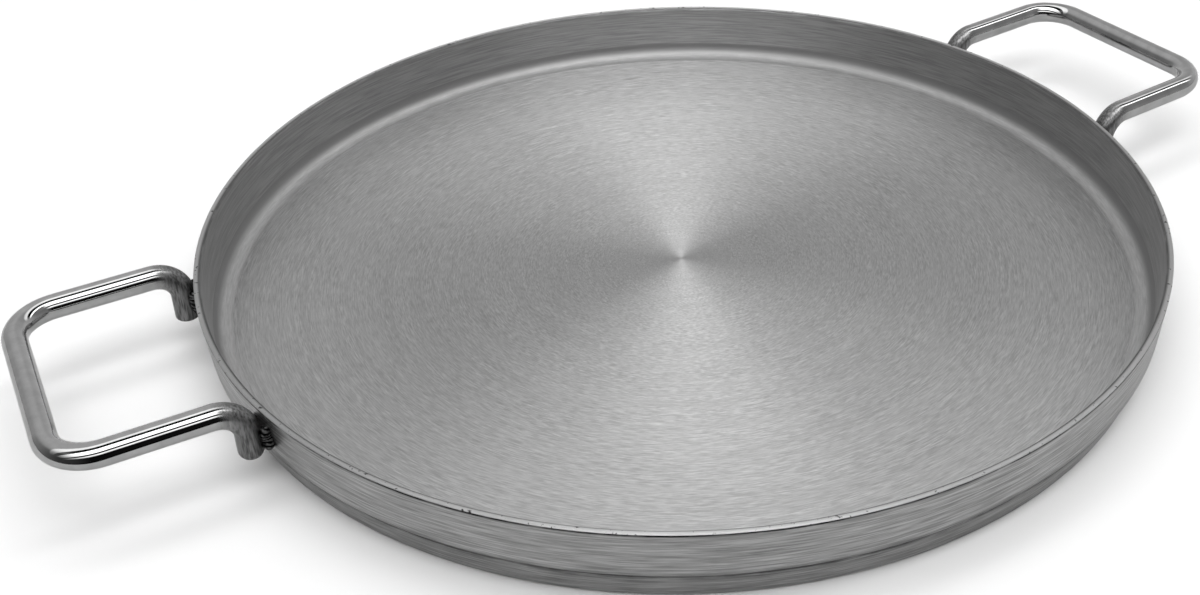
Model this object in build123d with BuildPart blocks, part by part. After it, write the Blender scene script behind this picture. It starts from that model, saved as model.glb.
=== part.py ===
from build123d import *
import os
from math import atan2, cos, degrees, radians, sin, sqrt, tan

os.makedirs("parts", exist_ok=True)

# Round two-handled griddle pan in stainless steel. All lengths are in millimetres.
# Origin: the middle of the flat underside. +Z is up, +X runs along the line of the two
# handles, and both handles sit a little towards +Y, as they were welded on by eye.

# Pressed dish
rim_radius = 228.6
rim_height = 38.1
plate = 3.2
wall_lean = 5.3
floor_fillet = 8.0
seam_height = 15.5
rim_break = 0.35

# Sandwich base: a heat-spreading core closed in by a thin pressed cap
core_thick = 5.0
cap_thick = 0.8
base_inset = 7.8
base_corner = 3.0
cap_recess = 0.4
seam_gap = 0.3

# Handles, bent from round bar
rod_radius = 5.6
grip_stand = 73.9
half_width = 57.0
leg_length = 18.7
arm_rise = 3.5
grip_rise = 1.7
leg_bend = 12.5
corner_bend = 20.0
foot_round = 1.2
worn_foot_round = 4.6
handle_skew = 3.73
right_drop = 1.9
right_arm_dip = 1.7
root_gap = 0.2

# Weld beads, one on each flank of each leg: a stack of thin discs, like toppled coins
bead_radius = 2.6
bead_offset = 5.3
bead_stand = 1.6
bead_length = 12.0
bead_lift = 4.0
ripple_pitch = 1.7
ripple_depth = 0.35
bead_end_share = 0.8

# Levels and radii that follow from the sizes above
under_height = cap_thick + core_thick
floor_height = under_height + plate
knuckle = floor_fillet + plate
wall_run = plate / cos(radians(wall_lean))
cap_height = seam_height - seam_gap
base_radius = rim_radius - base_inset
reach = rim_radius + grip_stand
leg_foot_height = rim_height - leg_length
grip_height = rim_height + grip_rise


def wall_radius(height):
    """Radius of the dish's outer wall: a cone that opens by wall_lean towards the rim."""
    return rim_radius - (rim_height - height) * tan(radians(wall_lean))


skirt_slope = (wall_radius(seam_height) - cap_recess - base_radius) / cap_height
skirt_run = cap_thick * sqrt(1 + skirt_slope**2)


def skirt_radius(height):
    """Radius of the cap's outer skirt: a straight cone from the base up to the seam."""
    return base_radius + height * skirt_slope


# The dish: floor, wall and a shoulder that is stepped in to seat the cap's skirt.
with BuildPart() as pan_dish:
    with BuildSketch(Plane.XZ):
        with BuildLine():
            Polyline(
                (0, under_height),
                (skirt_radius(under_height) - skirt_run, under_height),
                (skirt_radius(seam_height) - skirt_run, seam_height),
                (wall_radius(seam_height), seam_height),
                (rim_radius, rim_height),
                (rim_radius - wall_run, rim_height),
                (wall_radius(floor_height) - wall_run, floor_height),
                (0, floor_height),
                close=True,
            )
        make_face()
    revolve(axis=Axis.Z)
    rings = pan_dish.edges().filter_by(GeomType.CIRCLE).group_by(Axis.Z)
    fillet(rings[0], knuckle)
    fillet(rings[1], floor_fillet)
    chamfer(rings[-1], rim_break)
pan_dish.part.label = "pan_dish"
export_step(pan_dish.part, "parts/pan_dish.step")

# The core: a soft disc that the press squeezed out into the knuckle of the dish.
with BuildPart() as base_core:
    with BuildSketch(Plane.XZ):
        with BuildLine():
            Polyline(
                (0, cap_thick),
                (skirt_radius(cap_thick) - skirt_run, cap_thick),
                (skirt_radius(floor_height) - skirt_run, floor_height),
                (0, floor_height),
                close=True,
            )
        make_face()
    revolve(axis=Axis.Z)
    fillet(base_core.edges().filter_by(GeomType.CIRCLE).group_by(Axis.Z)[0], base_corner - cap_thick)
    add(pan_dish.part, mode=Mode.SUBTRACT)
base_core.part.label = "base_core"
export_step(base_core.part, "parts/base_core.step")

# The cap: a shallow tray over the core, its edge tucked under the dish's shoulder.
with BuildPart() as base_cap:
    with BuildSketch(Plane.XZ):
        with BuildLine():
            Polyline(
                (0, 0),
                (base_radius, 0),
                (skirt_radius(cap_height), cap_height),
                (skirt_radius(cap_height) - skirt_run, cap_height),
                (skirt_radius(cap_thick) - skirt_run, cap_thick),
                (0, cap_thick),
                close=True,
            )
        make_face()
    revolve(axis=Axis.Z)
    corners = base_cap.edges().filter_by(GeomType.CIRCLE).group_by(Axis.Z)
    fillet(corners[0], base_corner)
    fillet(corners[1], base_corner - cap_thick)
base_cap.part.label = "base_cap"
export_step(base_cap.part, "parts/base_cap.step")

# Handles: each is one bar with two upright legs against the wall and a flat loop outside.
leg_centre = rim_radius + root_gap + rod_radius
leg_reach = sqrt(leg_centre**2 - half_width**2)
leg_turn = degrees(atan2(half_width, leg_reach))
ripples = max(1, round(bead_length / ripple_pitch))
disc_height = bead_length / (2 * ripples)

# side, direction, how much lower it was welded, height of its arms at the legs, rounding of its feet
handles = (
    ("right", handle_skew, right_drop, rim_height + arm_rise - right_arm_dip, (foot_round, foot_round)),
    ("left", 180 - handle_skew, 0, rim_height + arm_rise, (foot_round, worn_foot_round)),
)
for side, azimuth, drop, arm_height, rounding in handles:
    along = (cos(radians(azimuth)), sin(radians(azimuth)), 0)
    seat = Plane(origin=(0, 0, -drop), x_dir=along, z_dir=(0, 0, 1))
    with BuildPart() as handle:
        with BuildLine(seat) as bar:
            FilletPolyline(
                (leg_reach, -half_width, leg_foot_height),
                (leg_reach, -half_width, arm_height),
                (reach, -half_width, grip_height),
                (reach, half_width, grip_height),
                (leg_reach, half_width, arm_height),
                (leg_reach, half_width, leg_foot_height),
                radius=(leg_bend, corner_bend, corner_bend, leg_bend),
            )
        with BuildSketch(Plane(origin=bar.line @ 0, z_dir=bar.line % 0)):
            Circle(rod_radius)
        sweep()
        for end, amount in zip((bar.line @ 0, bar.line @ 1), rounding):
            fillet(handle.edges().filter_by(GeomType.CIRCLE).sort_by_distance(end)[0], amount)
    handle.part.label = f"handle_{side}"
    export_step(handle.part, f"parts/handle_{side}.step")

    # Weld beads: crests and necks in turn, each disc trimmed to the wall and to the leg.
    for leg, leg_sign in (("a", -1), ("b", 1)):
        leg_azimuth = radians(azimuth + leg_sign * leg_turn)
        leg_middle = (leg_centre * cos(leg_azimuth), leg_centre * sin(leg_azimuth))
        for flank, flank_sign in (("inner", -leg_sign), ("outer", leg_sign)):
            bead_azimuth = leg_azimuth + flank_sign * bead_offset / leg_centre
            with BuildPart() as weld:
                for step in range(2 * ripples):
                    low = leg_foot_height - drop + bead_lift + step * disc_height
                    wall = wall_radius(low + disc_height)
                    radial = wall + bead_stand
                    girth = bead_radius if step % 2 else bead_radius - ripple_depth
                    girth = girth * bead_end_share if step in (0, 2 * ripples - 1) else girth
                    with BuildSketch(Plane.XY.offset(low)):
                        with Locations((radial * cos(bead_azimuth), radial * sin(bead_azimuth))):
                            Circle(girth)
                        Circle(wall, mode=Mode.SUBTRACT)
                        with Locations(leg_middle):
                            Circle(rod_radius, mode=Mode.SUBTRACT)
                    extrude(amount=disc_height)
            weld.part.label = f"weld_{side}_{leg}_{flank}"
            export_step(weld.part, f"parts/weld_{side}_{leg}_{flank}.step")
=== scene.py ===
from math import cos, pi, radians, sin, sqrt, tan

import bpy
import numpy as np
from mathutils import Matrix, Vector


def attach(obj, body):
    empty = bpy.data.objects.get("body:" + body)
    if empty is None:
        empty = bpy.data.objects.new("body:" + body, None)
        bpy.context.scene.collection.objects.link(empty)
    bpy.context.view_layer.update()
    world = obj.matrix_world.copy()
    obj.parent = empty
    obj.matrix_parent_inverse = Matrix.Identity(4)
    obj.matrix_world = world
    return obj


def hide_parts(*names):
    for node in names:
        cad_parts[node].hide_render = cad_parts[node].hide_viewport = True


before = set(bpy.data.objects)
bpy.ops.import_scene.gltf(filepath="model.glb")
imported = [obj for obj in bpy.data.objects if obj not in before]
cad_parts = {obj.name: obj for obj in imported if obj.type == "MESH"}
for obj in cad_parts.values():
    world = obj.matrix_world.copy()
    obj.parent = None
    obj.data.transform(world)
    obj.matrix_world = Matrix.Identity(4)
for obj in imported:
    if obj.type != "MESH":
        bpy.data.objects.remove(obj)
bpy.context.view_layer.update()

# Round two-handled griddle pan in stainless steel, in metres. The sizes repeat the built part's, but for
# the legs, which are 3 mm longer here, and the eased inner edge of the rim.
mm = 0.001

# Pressed dish
rim_radius = 228.6 * mm
rim_height = 38.1 * mm
plate = 3.2 * mm
wall_lean = radians(5.3)
floor_fillet = 8.0 * mm
seam_height = 15.5 * mm
rim_break = 0.35 * mm
inner_round = 1.8 * mm

# Sandwich base
core_thick = 5.0 * mm
cap_thick = 0.8 * mm
base_inset = 7.8 * mm
base_corner = 3.0 * mm
cap_recess = 0.4 * mm
seam_gap = 0.3 * mm

# Handles
rod_radius = 5.6 * mm
grip_stand = 73.9 * mm
half_width = 57.0 * mm
leg_length = 21.7 * mm
arm_rise = 3.5 * mm
grip_rise = 1.7 * mm
leg_bend = 12.5 * mm
corner_bend = 20.0 * mm
foot_round = 1.2 * mm
worn_foot_round = 4.6 * mm
handle_skew = radians(3.73)
right_drop = 1.9 * mm
right_arm_dip = 1.7 * mm
root_gap = 0.2 * mm

# Weld beads
bead_radius = 2.6 * mm
bead_offset = 5.3 * mm
bead_stand = 1.6 * mm
bead_length = 12.0 * mm
bead_lift = 4.0 * mm
ripple_pitch = 1.7 * mm

# How finely the surfaces are divided: steps round the pan, round a bar and along an arc, the length of a
# step along a straight run, and steps along and round a bead. The dish and the cap have one length for
# each run of their profile, coarse where it is flat or hidden and fine where soot shades it.
turn_steps = 720
rod_steps = 48
bend_steps = 20
run_spacing = 3.0 * mm
dish_spacings = np.array([6.0, 3.0, 3.0, 3.0, 1.6, 3.0, 3.0, 24.0]) * mm
cap_spacings = np.array([24.0, 3.0, 3.0, 3.0, 12.0]) * mm
bead_steps = 96
bead_sides = 28

# Where a bar's rounded foot has its rings, as shares of its rounding
tip_shares = np.array([0, 0.02, 0.08, 0.18, 0.32, 0.5, 0.7, 0.85, 1.0])

# A corner that turns by less than this, in radians, gets no arc, and a point that is closer than this to
# the one before is dropped
smallest_turn = 1e-6
smallest_step = 0.0001 * mm

# Levels and radii that follow
under_height = cap_thick + core_thick
floor_height = under_height + plate
knuckle = floor_fillet + plate
wall_run = plate / cos(wall_lean)
cap_height = seam_height - seam_gap
base_radius = rim_radius - base_inset
reach = rim_radius + grip_stand
leg_foot_height = rim_height - leg_length
grip_height = rim_height + grip_rise
leg_centre = rim_radius + root_gap + rod_radius
leg_reach = sqrt(leg_centre**2 - half_width**2)
leg_turn = np.arctan2(half_width, leg_reach)

chance = np.random.default_rng(7)


def wall_radius(height):
    """Radius of the outer wall: a cone that opens by wall_lean towards the rim."""
    return rim_radius - (rim_height - height) * tan(wall_lean)


skirt_slope = (wall_radius(seam_height) - cap_recess - base_radius) / cap_height
skirt_run = cap_thick * sqrt(1 + skirt_slope**2)


def skirt_radius(height):
    """Radius of the cap's skirt: a straight cone from the base up to the seam."""
    return base_radius + height * skirt_slope


# Meshes

def unit(vectors):
    """The vectors, each divided by its length."""
    return vectors / np.linalg.norm(vectors, axis=-1, keepdims=True)


def distance_along(path):
    """How far each point of the path is from the first one, measured along the path."""
    steps = np.linalg.norm(np.diff(path, axis=0), axis=1)
    return np.concatenate([[0], np.cumsum(steps)])


def rounded_path(corners, radii, spacing=run_spacing):
    """Points along straight runs joined by tangent arcs, in two or three dimensions. Each arc starts
    before its corner by radius x tan(half the turn), and a point on it is start + radius x (sin angle x
    the way in + (1 - cos angle) x the way to the centre). Straight runs are divided about evenly by the
    spacing, which is one length for all or one for each run."""
    spacings = np.broadcast_to(spacing, len(corners) - 1)
    corners = [np.asarray(corner, float) for corner in corners]
    pieces = [corners[0][None]]
    for before, corner, after, radius in zip(corners, corners[1:], corners[2:], radii):
        into = unit(corner - before)
        out = unit(after - corner)
        turn = np.arccos(np.clip(into @ out, -1, 1))
        if radius > 0 and turn > smallest_turn:
            start = corner - into * radius * np.tan(turn / 2)
            inward = unit(out - into * (out @ into))
            angle = np.linspace(0, turn, bend_steps)[:, None]
            pieces.append(start + radius * (np.sin(angle) * into + (1 - np.cos(angle)) * inward))
        else:
            pieces.append(corner[None])
    pieces.append(corners[-1][None])
    path = [pieces[0]]
    for piece, step in zip(pieces[1:], spacings):
        first, last = path[-1][-1], piece[0]
        count = max(1, int(np.linalg.norm(last - first) / step))
        share = np.linspace(0, 1, count + 1)[1:-1, None]
        path.append(first + (last - first) * share)
        path.append(piece)
    return np.concatenate(path)


def without_doubles(path):
    """The path without points that repeat the one before."""
    step = np.linalg.norm(np.diff(path, axis=0), axis=1)
    return path[np.r_[True, step > smallest_step]]


def closed_skin(name, rings, poles, along, bands, materials, turned):
    """A smooth mesh object at the origin: rings of points joined by four-cornered faces, and a fan of
    three-cornered ones from each end ring to its pole. along is how far along the skin the first pole,
    the rings and the last pole are, from 0 to 1. bands is the material of each step between them. A
    turned skin has u round it and a tube has u along it, and each has the order of corners with which
    its faces point outwards."""
    rows, columns = rings.shape[:2]
    row = np.arange(rows - 1)[:, None]
    column = np.arange(columns)[None]
    middle_of_face = (column + 0.5) / columns

    def ring_corner(row, column):
        """A corner of each face on the rings: its point, how far along it is and how far round."""
        return row * columns + column % columns, along[row + 1], column / columns

    # The corners of a four-cornered face, as steps along and round, and the two of a fan, as steps round
    if turned:
        quad_steps, low, high = ((0, 0), (1, 0), (1, 1), (0, 1)), 0, 1
    else:
        quad_steps, low, high = ((0, 0), (0, 1), (1, 1), (1, 0)), 1, 0
    kinds = [
        [ring_corner(row + down, column + on) for down, on in quad_steps],
        [(rows * columns, along[0], middle_of_face), ring_corner(0, column + low),
         ring_corner(0, column + high)],
        [(rows * columns + 1, along[-1], middle_of_face), ring_corner(rows - 1, column + high),
         ring_corner(rows - 1, column + low)],
    ]
    faces, places = [], []
    for corners in kinds:
        table = np.stack([np.stack(np.broadcast_arrays(*corner), -1) for corner in corners], -2)
        table = table.reshape(-1, len(corners), 3)
        faces += table[:, :, 0].astype(int).tolist()
        places.append(table[:, :, [2, 1] if turned else [1, 2]].reshape(-1, 2))
    mesh = bpy.data.meshes.new(name)
    mesh.from_pydata(rings.reshape(-1, 3).tolist() + list(poles), [], faces)
    layer = mesh.uv_layers.new(name="along")
    layer.data.foreach_set("uv", np.concatenate(places).astype(np.float32).ravel())
    mesh.polygons.foreach_set("use_smooth", np.ones(len(faces), bool))
    face_bands = np.repeat(np.concatenate([bands[1:-1], bands[:1], bands[-1:]]), columns)
    mesh.polygons.foreach_set("material_index", face_bands.astype(np.int32))
    for material in materials:
        mesh.materials.append(material)
    mesh.validate()
    mesh.update()
    piece = bpy.data.objects.new(name, mesh)
    bpy.context.scene.collection.objects.link(piece)
    return piece


def turned_piece(name, profile, bands, materials, wobble=None):
    """A profile of (radius, height) points turned about Z: x = r cos t, y = r sin t, with t evenly
    spaced. Its two ends lie on the axis and become single poles. bands says which material each step
    of the profile has. wobble may shift (radius, height)."""
    turn = np.linspace(0, 2 * pi, turn_steps, endpoint=False)[None]
    radius = np.repeat(profile[1:-1, :1], turn_steps, 1)
    height = np.repeat(profile[1:-1, 1:], turn_steps, 1)
    if wobble is not None:
        radius, height = wobble(radius, height, turn)
    rings = np.stack([radius * np.cos(turn), radius * np.sin(turn), height], -1)
    poles = [(0, 0, profile[0, 1]), (0, 0, profile[-1, 1])]
    along = distance_along(profile)
    return closed_skin(name, rings, poles, along / along[-1], bands, materials, turned=True)


def tube_piece(name, path, side, radius, material, round_steps=rod_steps):
    """A round section carried along a path: point + radius x (cos a side + sin a up), where up is
    tangent x side. The radius may change along the path and round it, and both ends close in a pole."""
    tangent = unit(np.gradient(path, axis=0))
    side = unit(side - tangent * np.sum(side * tangent, 1, keepdims=True))
    up = np.cross(tangent, side)
    angle = np.linspace(0, 2 * pi, round_steps, endpoint=False)[None, :, None]
    ring = np.cos(angle) * side[:, None] + np.sin(angle) * up[:, None]
    radius = np.asarray(radius, float).reshape(len(path), -1)
    rings = path[:, None] + radius[:, :, None] * ring
    along = distance_along(path)
    poles = path[[0, -1]].tolist()
    one_band = np.zeros(len(path) - 1, int)
    return closed_skin(name, rings[1:-1], poles, along / along[-1], one_band, [material], turned=False)


def set_attribute(piece, name, values):
    """Stores one number for each point of the piece, for its material to read."""
    piece.data.attributes.new(name, "FLOAT", "POINT").data.foreach_set("value", values.astype(np.float32))


def points_of(piece):
    """The piece's points as an array."""
    flat = np.empty(len(piece.data.vertices) * 3, np.float32)
    piece.data.vertices.foreach_get("co", flat)
    return flat.reshape(-1, 3)


# Materials

# Noise seldom leaves this range
noise_low, noise_high = 0.3, 0.7

# The turn of a brushed finish, in whole turns, that fans the light out across its lines
across_lines = 0.25


def srgb(code):
    """Linear RGBA from an sRGB hex colour, by the sRGB curve."""
    value = np.array([int(code[i:i + 2], 16) for i in (1, 3, 5)]) / 255
    linear = np.where(value <= 0.04045, value / 12.92, ((value + 0.055) / 1.055) ** 2.4)
    return (*linear.tolist(), 1.0)


def add_node(tree, kind, links=(), **settings):
    """Adds a node with its settings. links pairs each input with a value or another node's output."""
    node = tree.nodes.new(kind)
    for name, value in settings.items():
        setattr(node, name, value)
    for socket, value in dict(links).items():
        if isinstance(value, bpy.types.NodeSocket):
            tree.links.new(value, node.inputs[socket])
        else:
            node.inputs[socket].default_value = value
    return node


def new_material(name):
    """A material and its empty node tree."""
    material = bpy.data.materials.new(name)
    material.use_nodes = True
    material.node_tree.nodes.clear()
    return material, material.node_tree


def set_surface(tree, sockets):
    """Gives the material its shader, with these values and links, and its output."""
    shader = add_node(tree, "ShaderNodeBsdfPrincipled", sockets)
    add_node(tree, "ShaderNodeOutputMaterial", {0: shader.outputs[0]})


def object_place(tree):
    """The place of a point in the pan's own space."""
    return add_node(tree, "ShaderNodeTexCoord").outputs["Object"]


def point_value(tree, name):
    """The number that set_attribute stored under the name."""
    return add_node(tree, "ShaderNodeAttribute", attribute_name=name).outputs["Fac"]


def calculate(tree, operation, *values):
    """The result of one sum on the values, such as ADD or MULTIPLY."""
    return add_node(tree, "ShaderNodeMath", dict(enumerate(values)), operation=operation).outputs[0]


def noise(tree, place, size, detail=3.0, roughness=0.5):
    """Noise with lumps of about this size."""
    node = add_node(tree, "ShaderNodeTexNoise", {
        "Vector": place, "Scale": 1 / size, "Detail": detail, "Roughness": roughness})
    return node.outputs["Fac"]


def ring_grain(tree, streak, spacing, detail=3.0, on_wall=False):
    """Noise drawn out along circles about Z. The point's direction from the axis, times the rim's
    radius over the streak's length, keeps the streaks closed round the circle, and the radius over the
    spacing, or on a wall the height over the spacing, packs them across it."""
    parts = add_node(tree, "ShaderNodeSeparateXYZ", {0: object_place(tree)}).outputs
    flat = add_node(tree, "ShaderNodeCombineXYZ", {0: parts[0], 1: parts[1]}).outputs[0]
    radius = add_node(tree, "ShaderNodeVectorMath", {0: flat}, operation="LENGTH").outputs["Value"]
    outward = add_node(tree, "ShaderNodeVectorMath", {0: flat}, operation="NORMALIZE").outputs[0]
    circle = add_node(tree, "ShaderNodeVectorMath", {0: outward, "Scale": rim_radius / streak},
                      operation="SCALE").outputs[0]
    packed = calculate(tree, "DIVIDE", parts[2] if on_wall else radius, spacing)
    lift = add_node(tree, "ShaderNodeCombineXYZ", {2: packed}).outputs[0]
    spot = add_node(tree, "ShaderNodeVectorMath", {0: circle, 1: lift}, operation="ADD").outputs[0]
    return noise(tree, spot, 1.0, detail, 0.6)


def spread(tree, value, low, high, to_low=0.0, to_high=1.0):
    """Maps value from low..high to to_low..to_high, held at both ends."""
    node = add_node(tree, "ShaderNodeMapRange", {0: value, 1: low, 2: high, 3: to_low, 4: to_high})
    return node.outputs[0]


def spread_noise(tree, value, to_low=0.0, to_high=1.0):
    """Maps noise to to_low..to_high."""
    return spread(tree, value, noise_low, noise_high, to_low, to_high)


def blend_colours(tree, share, first, second):
    """Mixes two colours by a share."""
    node = add_node(tree, "ShaderNodeMix", {0: share, 6: first, 7: second}, data_type="RGBA")
    return node.outputs[2]


def brushed(tree, strength):
    """Socket values of a finish with lines along u, which run round the pan."""
    tangent = add_node(tree, "ShaderNodeTangent", direction_type="UV_MAP", uv_map="along").outputs[0]
    return {"Anisotropic": strength, "Anisotropic Rotation": across_lines, "Tangent": tangent}


def bump(tree, height, distance, strength):
    """A bumped normal from a height map."""
    node = add_node(tree, "ShaderNodeBump", {"Height": height, "Distance": distance, "Strength": strength})
    return node.outputs[0]


def brushed_floor():
    """Stainless sheet, circular brushed: fine rings that fan the light out across themselves. The rub
    attribute is how rough the brushing leaves it."""
    material, tree = new_material("circular_brushed_stainless_floor")
    # The real brush lines are about 0.1 mm apart, too fine to show, and are drawn coarser
    lines = ring_grain(tree, streak=9 * mm, spacing=0.55 * mm, detail=4.0)
    rings = ring_grain(tree, streak=160 * mm, spacing=1.6 * mm)
    broad = ring_grain(tree, streak=70 * mm, spacing=9 * mm, detail=2.0)
    tone = blend_colours(tree, spread(tree, lines, 0.33, 0.67), srgb("#b8b8b8"), srgb("#f0f0f0"))
    tone = blend_colours(tree, spread_noise(tree, rings, 0.45, 0.0), tone, srgb("#bebebe"))
    tone = blend_colours(tree, spread(tree, broad, 0.35, 0.65, 0.0, 0.3), tone, srgb("#d8d8d8"))
    gloss = calculate(tree, "ADD", spread_noise(tree, lines, -0.05, 0.05), point_value(tree, "rub"))
    set_surface(tree, {
        "Base Color": tone, "Metallic": 1.0, "Roughness": gloss,
        "Normal": bump(tree, lines, 0.02 * mm, 0.4), **brushed(tree, 0.84)})
    return material


def drawn_fillet():
    """Sheet drawn round the die's corner: satin, with no brushing to fan the light out, and darkened by
    painted shade where the edge attribute says that it turns up into the wall."""
    material, tree = new_material("drawn_stainless_fillet")
    lines = ring_grain(tree, streak=9 * mm, spacing=0.7 * mm, detail=4.0)
    tone = blend_colours(tree, spread_noise(tree, lines), srgb("#b6b6b6"), srgb("#d0d0d0"))
    # Painted shade: darker where the fillet turns up into the wall
    tone = blend_colours(tree, point_value(tree, "edge"), tone, srgb("#a0a0a0"))
    set_surface(tree, {
        "Base Color": tone, "Metallic": 1.0, "Roughness": spread_noise(tree, lines, 0.5, 0.58),
        "Normal": bump(tree, lines, 0.02 * mm, 0.3)})
    return material


def rolled_wall(name, light, dark, roughness, top, line):
    """Pressed stainless wall: long streaks run round it, with a darker satin than the floor. Soot
    blackens and dulls it next to the welds, where the heat attribute says so. A ragged dark line of painted
    shade runs round it below the top: line is how far below the top it begins, how far below it is full,
    and how dark it is."""
    material, tree = new_material(name)
    line_start, line_full, line_share = line
    streaks = ring_grain(tree, streak=22 * mm, spacing=0.7 * mm, detail=5.0, on_wall=True)
    patches = ring_grain(tree, streak=14 * mm, spacing=5 * mm, on_wall=True)
    tone = blend_colours(tree, spread(tree, streaks, 0.35, 0.65), srgb(dark), srgb(light))
    ragged = spread_noise(tree, patches, 0.75, 1.25)
    soot = spread(tree, calculate(tree, "MULTIPLY", point_value(tree, "heat"), ragged), 0.15, 0.6)
    tone = blend_colours(tree, soot, tone, srgb("#0a0a0a"))
    height = add_node(tree, "ShaderNodeSeparateXYZ", {0: object_place(tree)}).outputs[2]
    # Painted shade: a ragged dark line below the top stands in for the shade under the rim's edge, and on
    # the cap for the shade under the dish's shoulder
    near_top = spread(tree, height, top - line_start, top - line_full)
    painted_shade_line = calculate(tree, "MULTIPLY", near_top, spread(tree, patches, 0.35, 0.6, 0.4, 1.0))
    tone = blend_colours(tree, spread(tree, painted_shade_line, 0.0, 1.0, 0.0, line_share), tone, srgb("#1e1e1e"))
    gloss = spread_noise(tree, streaks, roughness - 0.05, roughness + 0.05)
    gloss = calculate(tree, "ADD", spread(tree, soot, 0.0, 1.0, 0.0, 0.4), gloss)
    set_surface(tree, {
        "Base Color": tone, "Metallic": 1.0, "Roughness": gloss,
        "Normal": bump(tree, streaks, 0.02 * mm, 0.35), **brushed(tree, 0.6)})
    return material


def ground_rim():
    """Sheared edge of the plate, ground by hand along its length: bright, with a few small pits, and with
    painted shade along its inner edge, where the edge attribute is 1."""
    material, tree = new_material("ground_stainless_rim")
    pits = noise(tree, object_place(tree), 2.2 * mm)
    tone = blend_colours(tree, spread(tree, pits, 0.3, 0.36), srgb("#5a5a5a"), srgb("#dcdcdc"))
    # Painted shade along the rim's inner edge
    tone = blend_colours(tree, point_value(tree, "edge"), tone, srgb("#6a6a6a"))
    set_surface(tree, {
        "Base Color": tone, "Metallic": 1.0, "Roughness": spread_noise(tree, pits, 0.46, 0.54),
        "Normal": bump(tree, pits, 0.03 * mm, 0.3), **brushed(tree, 0.84)})
    return material


def drawn_bar():
    """Polished round stainless bar: sharp long reflections. The legs are dull, where the foot attribute
    is 1, with fine upright lines from bending, and sooty next to the welds."""
    material, tree = new_material("polished_stainless_bar")
    place = object_place(tree)
    line_size = np.array([0.9, 0.9, 7.0]) * mm
    upright = add_node(tree, "ShaderNodeMapping", {0: place, 3: tuple(1 / line_size)}).outputs[0]
    lines = noise(tree, upright, 1.0)
    marks = noise(tree, place, 6 * mm, detail=4.0)
    foot = point_value(tree, "foot")
    heat = calculate(tree, "MULTIPLY", point_value(tree, "heat"), spread_noise(tree, marks, 0.7, 1.3))
    dull = blend_colours(tree, spread(tree, lines, 0.35, 0.6), srgb("#606060"), srgb("#989898"))
    tone = blend_colours(tree, spread_noise(tree, marks), srgb("#c2c2c2"), srgb("#d2d2d2"))
    tone = blend_colours(tree, foot, tone, dull)
    tone = blend_colours(tree, spread(tree, heat, 0.1, 0.5), tone, srgb("#0a0a0a"))
    set_surface(tree, {
        "Base Color": tone, "Metallic": 1.0, "Roughness": spread(tree, foot, 0.0, 1.0, 0.05, 0.38),
        "Normal": bump(tree, marks, 0.03 * mm, 0.15)})
    return material


def weld_metal():
    """Stick-welded stainless: rippled and burnt nearly black, with a painted highlight on the crests, where
    the crest attribute is 1."""
    material, tree = new_material("burnt_weld_metal")
    scale = noise(tree, object_place(tree), 1.2 * mm)
    # Painted highlight: the ripples' crests get a lighter colour
    shine = spread(tree, calculate(tree, "MULTIPLY", point_value(tree, "crest"), scale), 0.3, 0.62)
    tone = blend_colours(tree, shine, srgb("#060606"), srgb("#808080"))
    set_surface(tree, {
        "Base Color": tone, "Metallic": 1.0, "Roughness": spread_noise(tree, scale, 0.3, 0.5),
        "Normal": bump(tree, scale, 0.1 * mm, 0.4)})
    return material


def bare_aluminium():
    """Rolled aluminium disc, closed in between dish and cap: dull and pale."""
    material, tree = new_material("bare_rolled_aluminium")
    grain = ring_grain(tree, streak=30 * mm, spacing=1.5 * mm)
    tone = blend_colours(tree, grain, srgb("#c4c5c7"), srgb("#d6d7d9"))
    set_surface(tree, {
        "Base Color": tone, "Metallic": 1.0, "Roughness": spread_noise(tree, grain, 0.45, 0.6)})
    return material


def matt_paint(name, colour):
    """Matt paper or paint, for the surface that the pan stands on."""
    material, tree = new_material("matt_" + name)
    set_surface(tree, {"Base Color": srgb(colour), "Roughness": 0.9})
    return material


# The dish and the cap

leg_azimuths = np.array([handle_skew - leg_turn, handle_skew + leg_turn,
                         pi - handle_skew + leg_turn, pi - handle_skew - leg_turn])
leg_drops = np.array([right_drop, right_drop, 0.0, 0.0])

# Soot: how far it reaches from a weld on the wall and on the bar, and how many times as far up and down
soot_on_wall = 18.6 * mm
soot_on_bar = 13.175 * mm
soot_up = 1.6
soot_down = 1.25

# Roughness of the brushed floor, which is rubbed smoother from one radius to the other
rub_radii = np.array([135, 210]) * mm
rub_levels = (0.56, 0.38)

# The order of the dish's materials
floor_band, inner_band, rim_band, outer_band, fillet_band = range(5)

# The ground rim ends ground_depth below the top. Its edge wanders by waves, each with its count round the
# rim, which weaken as the count passes wave_fall. wave_lift keeps their sum above zero, each unit of it
# moves the edge by wander_in and wander_down, and the move begins wander_depth below the top.
ground_depth = 1.01 * rim_break
wave_counts = (5, 9, 17, 31, 47, 83)
wave_fall = 12
wave_lift = 3
wander_in = 0.04 * mm
wander_down = 0.03 * mm
wander_depth = 3.0 * mm

# The painted shade lines under the rim's inner and outer edges, and on the cap under the dish's shoulder:
# how far below the top they begin, how far below they are full, and how dark they are
inner_line = (1.2 * mm, 0.7 * mm, 0.55)
outer_line = (1.5 * mm, 0.9 * mm, 1.0)
cap_line = (5.0 * mm, 0.0, 0.75)

# Where the painted shade on the floor's fillet begins and over what length it grows full, as shares of its
# radius
fillet_shade_start_share = 0.55
fillet_shade_run_share = 0.3


def heat_near_welds(points, reach_of_soot):
    """1 at a weld and 0 away from it: exp(-(distance / reach) to the fourth), where the distance is the
    one to the nearest leg's weld, with its height divided by soot_up above the weld and by soot_down
    below it."""
    centre = leg_centre - rod_radius
    middle = leg_foot_height - leg_drops + bead_lift + bead_length / 2
    welds = np.stack([centre * np.cos(leg_azimuths), centre * np.sin(leg_azimuths), middle], -1)
    gap = points[:, None] - welds[None]
    gap[..., 2] /= np.where(gap[..., 2] > 0, soot_up, soot_down)
    distance = np.linalg.norm(gap, axis=2).min(1)
    return np.exp(-(distance / reach_of_soot) ** 4)


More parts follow.
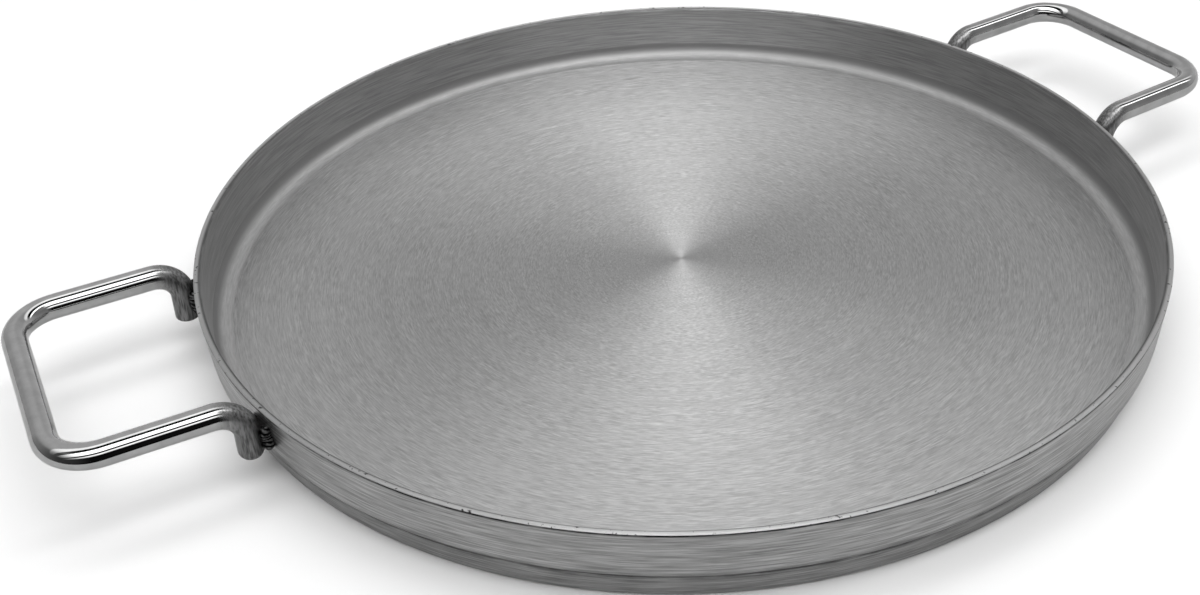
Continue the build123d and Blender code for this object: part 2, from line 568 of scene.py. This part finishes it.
def make_dish():
    """The pressed dish: floor, fillet, wall, ground rim, outer wall and the seat for the cap."""
    corners = [
        (0, floor_height),
        (wall_radius(floor_height) - wall_run, floor_height),
        (rim_radius - wall_run, rim_height),
        (rim_radius - rim_break, rim_height),
        (rim_radius - rim_break * tan(wall_lean), rim_height - rim_break),
        (wall_radius(seam_height), seam_height),
        (skirt_radius(seam_height) - skirt_run, seam_height),
        (skirt_radius(under_height) - skirt_run, under_height),
        (0, under_height),
    ]
    radii = [floor_fillet, inner_round, 0, 0, 0, 0, knuckle]
    profile = without_doubles(rounded_path(corners, radii, dish_spacings))
    middle = (profile[1:] + profile[:-1]) / 2
    order = np.arange(len(middle))
    on_rim = order[middle[:, 1] > rim_height - ground_depth]
    fillet_start = wall_radius(floor_height) - wall_run - floor_fillet * tan((pi / 2 - wall_lean) / 2)
    fillet_top = floor_height + floor_fillet * (1 - sin(wall_lean))
    inside = np.where(middle[:, 1] > fillet_top, inner_band, fillet_band)
    inside = np.where(middle[:, 0] < fillet_start, floor_band, inside)
    bands = np.where(order < on_rim[0], inside, np.where(order <= on_rim[-1], rim_band, outer_band))
    waves = [(count, chance.uniform(0, 2 * pi)) for count in wave_counts]

    def hand_finish(radius, height, turn):
        """The ground edge wanders in by 0.03 to 0.21 mm and down by 0.02 to 0.16 mm: by wander_in and
        wander_down times (wave_lift + the sum of sin(count x turn + phase) / (1 + count / wave_fall)).
        The move grows with the square of the height over the last wander_depth below the top."""
        wander = sum(np.sin(count * turn + phase) / (1 + count / wave_fall) for count, phase in waves)
        share = np.clip((height - (rim_height - wander_depth)) / wander_depth, 0, 1) ** 2
        moved = share * (wander + wave_lift)
        return radius - wander_in * moved, height - wander_down * moved

    dish = turned_piece("pressed_dish", profile, bands,
                        [brushed_floor(),
                         rolled_wall("rolled_stainless_inner_wall", "#b8b8b8", "#989898", 0.42,
                                     rim_height, inner_line),
                         ground_rim(),
                         rolled_wall("rolled_stainless_outer_wall", "#e2e2e2", "#9c9c9c", 0.38,
                                     rim_height, outer_line),
                         drawn_fillet()],
                        hand_finish)
    points = points_of(dish)
    radius = np.hypot(points[:, 0], points[:, 1])
    height = points[:, 2]
    outside = radius > wall_radius(height) - plate / 2
    set_attribute(dish, "heat", heat_near_welds(points, soot_on_wall) * outside)
    set_attribute(dish, "rub", np.interp(radius, rub_radii, rub_levels))
    # The edge attribute says where shade is painted: up the fillet into the wall, and over the inner part of
    # the rim's top
    up_fillet = (radius - (fillet_start + fillet_shade_start_share * floor_fillet)) / (fillet_shade_run_share * floor_fillet)
    in_from_rim = (rim_radius - plate / 2 - radius) / (plate / 3)
    low = height < floor_height + floor_fillet
    set_attribute(dish, "edge", np.clip(np.where(low, up_fillet, in_from_rim), 0, 1))
    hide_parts("pan_dish")
    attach(dish, "root")


def make_cap():
    """The cap: a thin tray under the core, its edge tucked in below the dish's shoulder."""
    corners = [
        (0, cap_thick),
        (skirt_radius(cap_thick) - skirt_run, cap_thick),
        (skirt_radius(cap_height) - skirt_run, cap_height),
        (skirt_radius(cap_height), cap_height),
        (base_radius, 0),
        (0, 0),
    ]
    radii = [base_corner - cap_thick, 0, 0, base_corner]
    profile = without_doubles(rounded_path(corners, radii, cap_spacings))
    # The cap's dark line is painted shade under the dish's shoulder, at the top of its skirt
    metal = rolled_wall("spun_stainless_cap", "#d2d2d2", "#8c8c8c", 0.4, cap_height, cap_line)
    cap = turned_piece("pressed_base_cap", profile, np.zeros(len(profile) - 1, int), [metal])
    set_attribute(cap, "heat", np.zeros(len(cap.data.vertices)))
    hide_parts("base_cap")
    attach(cap, "root")


# The handles and their welds

# Soot covers the bar on the wall's side, and past its middle by this share of its radius
sooty_side_share = 0.3

# The legs and the first dull_arm of the arms are dull, and over dull_fade the arms brighten
dull_arm = 4 * mm
dull_fade = 9 * mm

# How a bead strays sideways along the wall: how far, and through how many radians of its sway. How far
# its ripples lag and slip, in radians of their phase, and through how many radians the slips sway. Each
# random phase lies between 0 and chance_phase.
stray = 0.25 * mm
stray_turn = 9
ripple_lag = 0.9
ripple_slip = 0.8
slip_turn = 11
chance_phase = 6

# A bead's radius in its necks and what a crest adds to it, as shares of bead_radius, and the powers that
# sharpen its ripples and blunt its ends
neck_share = 0.86
crest_share = 0.16
ripple_power = 0.7
end_power = 5


def rounded_ends(path, radius, rounding):
    """Radius along a bar whose ends are rounded over. Within rounding of an end it is radius - rounding
    + sqrt(rounding^2 - (rounding - distance)^2), where distance is how far along the bar that end is."""
    run = distance_along(path)
    size = np.full(len(path), radius)
    for distance, amount in ((run, rounding[0]), (run[-1] - run, rounding[1])):
        near = distance < amount
        bite = np.sqrt(np.clip(amount**2 - (amount - distance[near]) ** 2, 0, None))
        size[near] = np.minimum(size[near], radius - amount + bite)
    return size


def make_handle(side, azimuth, drop, arm_height, rounding, bar):
    """One bent bar: up a leg, out along an arm, across the grip and back to the other leg."""
    along = np.array([cos(azimuth), sin(azimuth), 0])
    across = np.array([-sin(azimuth), cos(azimuth), 0])
    upright = np.array([0, 0, 1.0])
    local = [(leg_reach, -half_width, leg_foot_height), (leg_reach, -half_width, arm_height),
             (reach, -half_width, grip_height), (reach, half_width, grip_height),
             (leg_reach, half_width, arm_height), (leg_reach, half_width, leg_foot_height)]
    corners = [u * along + v * across + (z - drop) * upright for u, v, z in local]
    path = without_doubles(rounded_path(corners, (leg_bend, corner_bend, corner_bend, leg_bend)))
    first = path[0] + tip_shares[:, None] * rounding[0] * upright
    last = path[-1] + tip_shares[::-1, None] * rounding[1] * upright
    past_first = np.linalg.norm(path - path[0], axis=1) > rounding[0]
    past_last = np.linalg.norm(path - path[-1], axis=1) > rounding[1]
    path = np.concatenate([first, path[past_first & past_last], last])
    # The guide for the sections is level and square to the bar, but on the legs, which run upright, and
    # on most of the arms it points across the pan
    level = np.cross(upright, unit(np.gradient(path, axis=0)))
    half = np.where(np.arange(len(path)) < len(path) / 2, 1.0, -1.0)[:, None]
    beside_grip = np.abs(path @ across) > half_width - corner_bend / 2
    short_of_grip = path @ along < reach - 1.5 * corner_bend
    guide = np.where((beside_grip & short_of_grip)[:, None], half * across, level)
    handle = tube_piece(f"bar_handle_{side}", path, guide, rounded_ends(path, rod_radius, rounding), bar)
    points = points_of(handle)
    towards_wall = np.hypot(points[:, 0], points[:, 1]) < leg_centre + sooty_side_share * rod_radius
    set_attribute(handle, "heat", heat_near_welds(points, soot_on_bar) * towards_wall)
    past_leg = points @ along - leg_reach - dull_arm
    set_attribute(handle, "foot", np.clip(1 - past_leg / dull_fade, 0, 1))
    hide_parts(f"handle_{side}")
    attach(handle, "root")


def make_weld(name, leg_azimuth, flank_sign, drop, metal):
    """One bead: a bar of weld metal up the crook of leg and wall. Its radius is bead_radius x
    (neck_share + crest_share x |sin phase| to the ripple_power), and tapers at its ends by
    sqrt(1 - |2 share - 1| to the end_power), with share from 0 to 1 along it. The phase lags with
    distance from the middle of the bead, which bows each ripple like a fish scale, and slips a little."""
    bead_azimuth = leg_azimuth + flank_sign * bead_offset / leg_centre
    share = np.linspace(0, 1, bead_steps)
    height = leg_foot_height - drop + bead_lift + share * bead_length
    stagger = stray * np.sin(share * stray_turn + chance.uniform(0, chance_phase))
    radial = wall_radius(height) + bead_stand
    path = np.stack([radial * cos(bead_azimuth) - stagger * sin(bead_azimuth),
                     radial * sin(bead_azimuth) + stagger * cos(bead_azimuth), height], -1)
    side = np.broadcast_to(np.array([cos(bead_azimuth), sin(bead_azimuth), 0]), path.shape)
    angle = np.linspace(0, 2 * pi, bead_sides, endpoint=False)[None]
    lag = ripple_lag * (1 - np.cos(angle))
    slips = ripple_slip * np.sin(share[:, None] * slip_turn + chance.uniform(0, chance_phase))
    slips = slips * np.cos(angle + chance.uniform(0, chance_phase))
    phase = pi * share[:, None] * bead_length / ripple_pitch + lag + slips
    ripple = np.abs(np.sin(phase)) ** ripple_power
    taper = np.sqrt(np.clip(1 - np.abs(2 * share - 1) ** end_power, 0, 1))[:, None]
    radius = bead_radius * taper * (neck_share + crest_share * ripple)
    weld = tube_piece(f"weld_bead_{name}", path, side, radius, metal, bead_sides)
    # The two poles are the last points
    pole_crests = [0.5, 0.5]
    set_attribute(weld, "crest", np.concatenate([ripple[1:-1].ravel(), pole_crests]))
    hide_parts(f"weld_{name}")
    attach(weld, "root")


def make_handles():
    """Both handles, each with a weld bead on either flank of its two legs."""
    bar, metal = drawn_bar(), weld_metal()
    arm_height = rim_height + arm_rise
    sides = (
        ("right", handle_skew, right_drop, arm_height - right_arm_dip, (foot_round, foot_round)),
        ("left", pi - handle_skew, 0.0, arm_height, (foot_round, worn_foot_round)),
    )
    for side, azimuth, drop, arm, rounding in sides:
        make_handle(side, azimuth, drop, arm, rounding, bar)
        for leg, leg_sign in (("a", -1), ("b", 1)):
            for flank, flank_sign in (("inner", -leg_sign), ("outer", leg_sign)):
                make_weld(f"{side}_{leg}_{flank}", azimuth + leg_sign * leg_turn, flank_sign, drop, metal)


# The studio

# The camera: how far it is from the middle of the rim, its angles in degrees, its picture and its lens in
# pixels, its sensor in millimetres, and the nearest and farthest that it sees
camera_distance = 3.5003 * rim_radius
camera_elevation = 31.525
camera_azimuth = -30.10
aim_turns = (0.6987, 1.6792, -1.3759)
picture_width, picture_height = 1200, 595
focal_pixels = 1667.5
axis_pixel = (661.1, 256.8)
sensor_width = 36.0
nearest, farthest = 0.02, 40.0

# The room: how bright its ceiling and its lamps are, and how far to the right of straight behind the pan
# its brightest wall is, in degrees
ceiling_level = 0.64
lamp_level = 2.75
bright_wall_turn = 12

# How bright the walls are, and how far up the ceiling's glow begins, from the side where the camera stands,
# at -1, to the brightest wall, at 1: where each change begins and ends, and its value there. The glow is
# full at ceiling_full. How far up is the sine of the angle above the horizon.
side_wall_change = (-0.8, 0.3, 0.05, 0.33)
back_wall_change = (0.2, 1.0, 0.0, 0.29)
ceiling_start_change = (-0.6, 0.4, 0.66, 0.26)
ceiling_full = 0.84

# Rows of lamps along the handles' line. Each stop is an angle, from the horizon in front of the pan over
# the ceiling to the horizon behind it, with the share of the room's glow and of the lamps' light there.
# The rows are narrower towards the right, and fade at both ends, where the room is plain again.
plain_room = (0.9, 0.0, 0.0, 1.0)
lamp_rows_left = (
    (0, 0.1, 0.0), (27, 0.1, 0.0), (31, 1.0, 0.6), (39, 1.0, 0.6), (41, 0.0, 0.0), (52, 0.0, 0.0),
    (54, 1.0, 0.95), (79, 1.0, 0.95), (81, 0.0, 0.0), (98, 0.0, 0.0), (100, 1.0, 0.35), (115, 1.0, 0.3),
    (118, 0.8, 0.0), (180, 1.0, 0.0))
lamp_rows_right = (
    (0, 0.8, 0.04), (50, 0.35, 0.04), (71, 0.35, 0.0), (73, 1.0, 0.9), (82, 1.0, 0.9), (84, 0.0, 0.0),
    (99, 0.0, 0.0), (103, 1.0, 0.3), (112, 1.0, 0.2), (118, 0.6, 0.0), (180, 0.9, 0.0))

# Where the rows begin, change from left to right and end, from -1 at the far left to 1 at the far right
rows_begin = (-0.95, -0.45)
rows_change = (0.14, 0.36)
rows_end = (0.78, 0.92)

# The sweep and the table: how far they reach from the pan's axis, how far the table reaches in front of
# it, and the table's turn in degrees
sweep_reach = 6.0
table_front = 0.29
table_turn = -8

# The light over the paper
paper_light_size = 2.4
paper_light_height = 2.0
paper_light_power = 19


def place_camera():
    """The camera looks at the middle of the rim from camera_distance away, then turns by three small
    angles: about its upright, its level axis and its line of sight. Its lens and shift follow from the
    focal length and the pixel that the lens axis passes through."""
    rise, swing = radians(camera_elevation), radians(camera_azimuth)
    away = Vector((sin(swing) * cos(rise), -cos(swing) * cos(rise), sin(rise)))
    right = Vector((cos(swing), sin(swing), 0))
    down = -right.cross(-away)
    axes = Matrix((right, down, -away))
    yaw, pitch, roll = (radians(turn) for turn in aim_turns)
    aim = Matrix.Rotation(roll, 3, "Z") @ Matrix.Rotation(pitch, 3, "X") @ Matrix.Rotation(yaw, 3, "Y")
    turned = aim @ axes
    data = bpy.data.cameras.new("camera")
    data.sensor_width = sensor_width
    data.lens = focal_pixels / picture_width * sensor_width
    data.shift_x = (picture_width / 2 - axis_pixel[0]) / picture_width
    data.shift_y = (axis_pixel[1] - picture_height / 2) / picture_width
    data.clip_start = nearest
    data.clip_end = farthest
    camera = bpy.data.objects.new("camera", data)
    bpy.context.scene.collection.objects.link(camera)
    facing = Matrix((turned[0], -turned[1], -turned[2])).transposed().to_4x4()
    middle = Vector((0, 0, rim_height))
    camera.matrix_world = Matrix.Translation(middle + away * camera_distance) @ facing
    bpy.context.scene.camera = camera


def paper_light():
    """A wide soft light straight over the pan, for the paper underneath alone: metal doesn't show it."""
    data = bpy.data.lights.new("paper_light", "AREA")
    data.shape = "DISK"
    data.size = paper_light_size
    data.energy = paper_light_power
    lamp = bpy.data.objects.new("paper_light", data)
    bpy.context.scene.collection.objects.link(lamp)
    lamp.location = (0, 0, paper_light_height)
    lamp.visible_glossy = False
    lamp.visible_camera = False


def lamp_rows(tree, turn, rows):
    """The share of the room's glow and of the lamps' light at a turn, as red and green of a colour ramp."""
    node = add_node(tree, "ShaderNodeValToRGB", {0: turn})
    stops = node.color_ramp.elements
    while len(stops) < len(rows):
        stops.new(1.0)
    for stop, (angle, glow, lamp) in zip(stops, rows):
        stop.position = angle / 180
        stop.color = (glow, lamp, 0.0, 1.0)
    return node.outputs[0]


def room_glow():
    """The room as the metal sees it: a pale ceiling that fades down the walls, with rows of lamps. The wall
    behind the pan, a little to the right, is the brightest, and the side where the camera stands is dark."""
    world = bpy.data.worlds.new("studio")
    world.use_nodes = True
    tree = world.node_tree
    tree.nodes.clear()
    place = add_node(tree, "ShaderNodeTexCoord").outputs["Generated"]
    to_right, to_back, height = add_node(tree, "ShaderNodeSeparateXYZ", {0: place}).outputs
    swing = radians(camera_azimuth - bright_wall_turn)
    back = (-sin(swing), cos(swing), 0)
    dot = add_node(tree, "ShaderNodeVectorMath", {0: place, 1: back}, operation="DOT_PRODUCT")
    behind = dot.outputs["Value"]
    side_wall = spread(tree, behind, *side_wall_change)
    back_wall = spread(tree, behind, *back_wall_change)
    wall = calculate(tree, "ADD", side_wall, back_wall)
    start = spread(tree, behind, *ceiling_start_change)
    rise = add_node(tree, "ShaderNodeMapRange", {0: height, 1: start, 2: ceiling_full, 3: 0.0, 4: 1.0},
                    interpolation_type="SMOOTHSTEP").outputs[0]
    glow = add_node(tree, "ShaderNodeMix", {0: rise, 2: wall, 3: ceiling_level}).outputs[0]
    to_front = calculate(tree, "MULTIPLY", to_back, -1.0)
    turn = spread(tree, calculate(tree, "ARCTAN2", height, to_front), 0.0, pi)
    left = lamp_rows(tree, turn, lamp_rows_left)
    right = lamp_rows(tree, turn, lamp_rows_right)
    rows = blend_colours(tree, spread(tree, to_right, *rows_change), left, right)
    rows = blend_colours(tree, spread(tree, to_right, *rows_begin), plain_room, rows)
    rows = blend_colours(tree, spread(tree, to_right, *rows_end), rows, plain_room)
    glow_share, lamp_share, _ = add_node(tree, "ShaderNodeSeparateColor", {0: rows}).outputs
    level = calculate(tree, "MULTIPLY", glow, glow_share)
    level = calculate(tree, "MULTIPLY_ADD", lamp_share, lamp_level, level)
    shine = add_node(tree, "ShaderNodeBackground", {0: srgb("#ffffff"), 1: level})
    add_node(tree, "ShaderNodeOutputWorld", {0: shine.outputs[0]})
    bpy.context.scene.world = world


def level_sheet(name, front, turn, colour):
    """A flat matt sheet at the height that the pan stands on. It reaches as far as the sweep to the back
    and to either side, and this far to the front, and is turned to the camera and then by the turn."""
    side = sweep_reach
    corners = [(-side, -front, 0), (side, -front, 0), (side, side, 0), (-side, side, 0)]
    mesh = bpy.data.meshes.new(name)
    mesh.from_pydata(corners, [], [(0, 1, 2, 3)])
    mesh.transform(Matrix.Rotation(radians(camera_azimuth + turn), 4, "Z"))
    mesh.materials.append(matt_paint(name, colour))
    sheet = bpy.data.objects.new(name, mesh)
    bpy.context.scene.collection.objects.link(sheet)
    return sheet


def light_studio():
    """The room and a white sweep underneath. Metal shows a table instead of the sweep, which ends in front
    of the pan, so that polished bars keep their dark bands."""
    room_glow()
    paper_light()
    sweep = level_sheet("sweep", sweep_reach, 0, "#f2f2f2")
    sweep.visible_glossy = False
    sweep.visible_shadow = False
    table = level_sheet("table", table_front, table_turn, "#fafafa")
    table.visible_camera = False
    table.visible_diffuse = False
    table.visible_shadow = False


place_camera()
make_dish()
make_cap()
make_handles()
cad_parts["base_core"].data.materials.clear()
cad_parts["base_core"].data.materials.append(bare_aluminium())
light_studio()
bpy.context.scene.view_settings.view_transform = "Standard"
